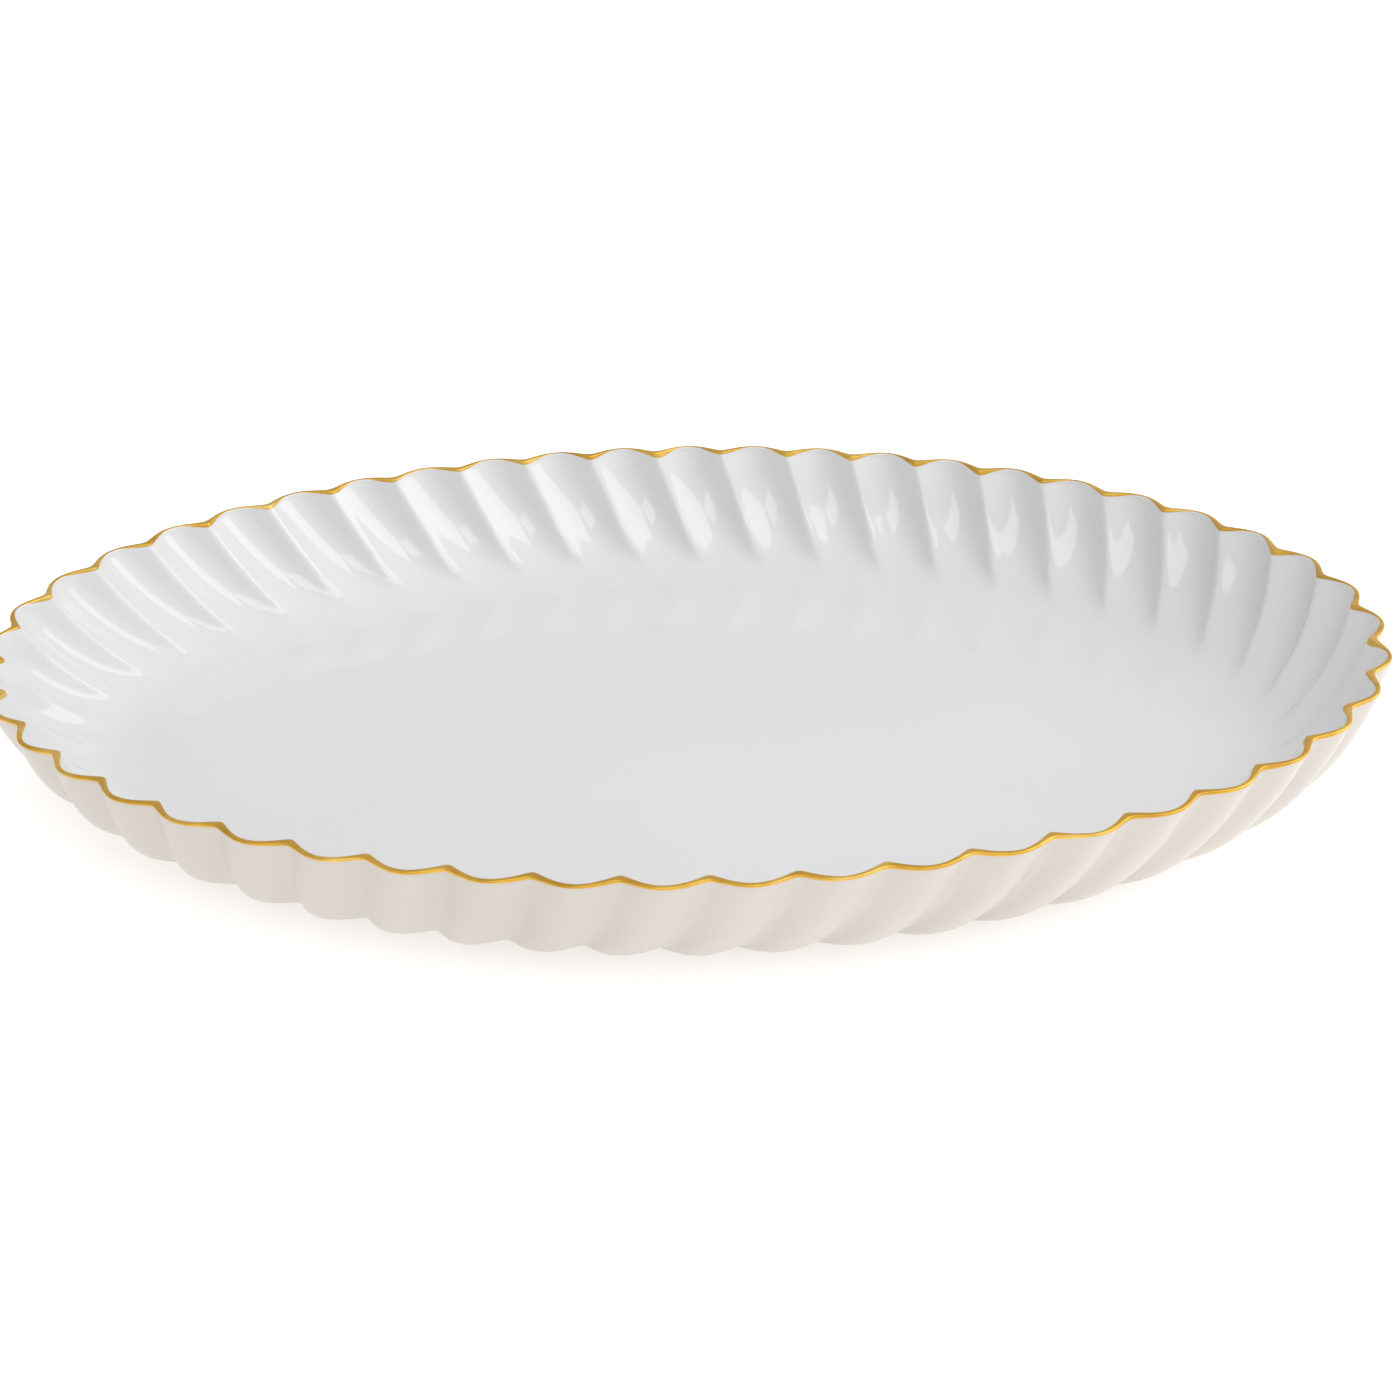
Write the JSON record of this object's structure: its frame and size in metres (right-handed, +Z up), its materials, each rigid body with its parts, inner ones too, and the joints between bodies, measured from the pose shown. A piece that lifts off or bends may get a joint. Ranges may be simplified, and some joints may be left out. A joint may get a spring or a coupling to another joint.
{
  "type": "oval serving platter",
  "caption": "Oval china serving platter with a flat well, a low wall of twisted flutes, a scalloped gilded lip, white glaze inside and ivory glaze outside.",
  "frame": {"origin": "on the table, under the centre of the platter: the bottom centre of its bounding box", "axes": "+Z up, out of the well; X along the platter's length; Y across its width"},
  "size_m": [0.4032, 0.2858, 0.04],
  "materials": {
    "bisque": "fired clay body, matt, hidden under the glaze",
    "foot_bisque": "unglazed foot, ground smooth, matt",
    "white_glaze": "clear glaze over white, high gloss",
    "ivory_glaze": "warm ivory glaze, soft gloss",
    "gold_lustre": "hand-painted gold lustre, burnished, slightly uneven"
  },
  "bodies": {
    "root": {"china_body": "bisque", "foot_ring": "foot_bisque", "inner_glaze": "white_glaze", "outer_glaze": "ivory_glaze", "base_glaze": "ivory_glaze", "gilt_rim": "gold_lustre"}
  },
  "joints": []
}
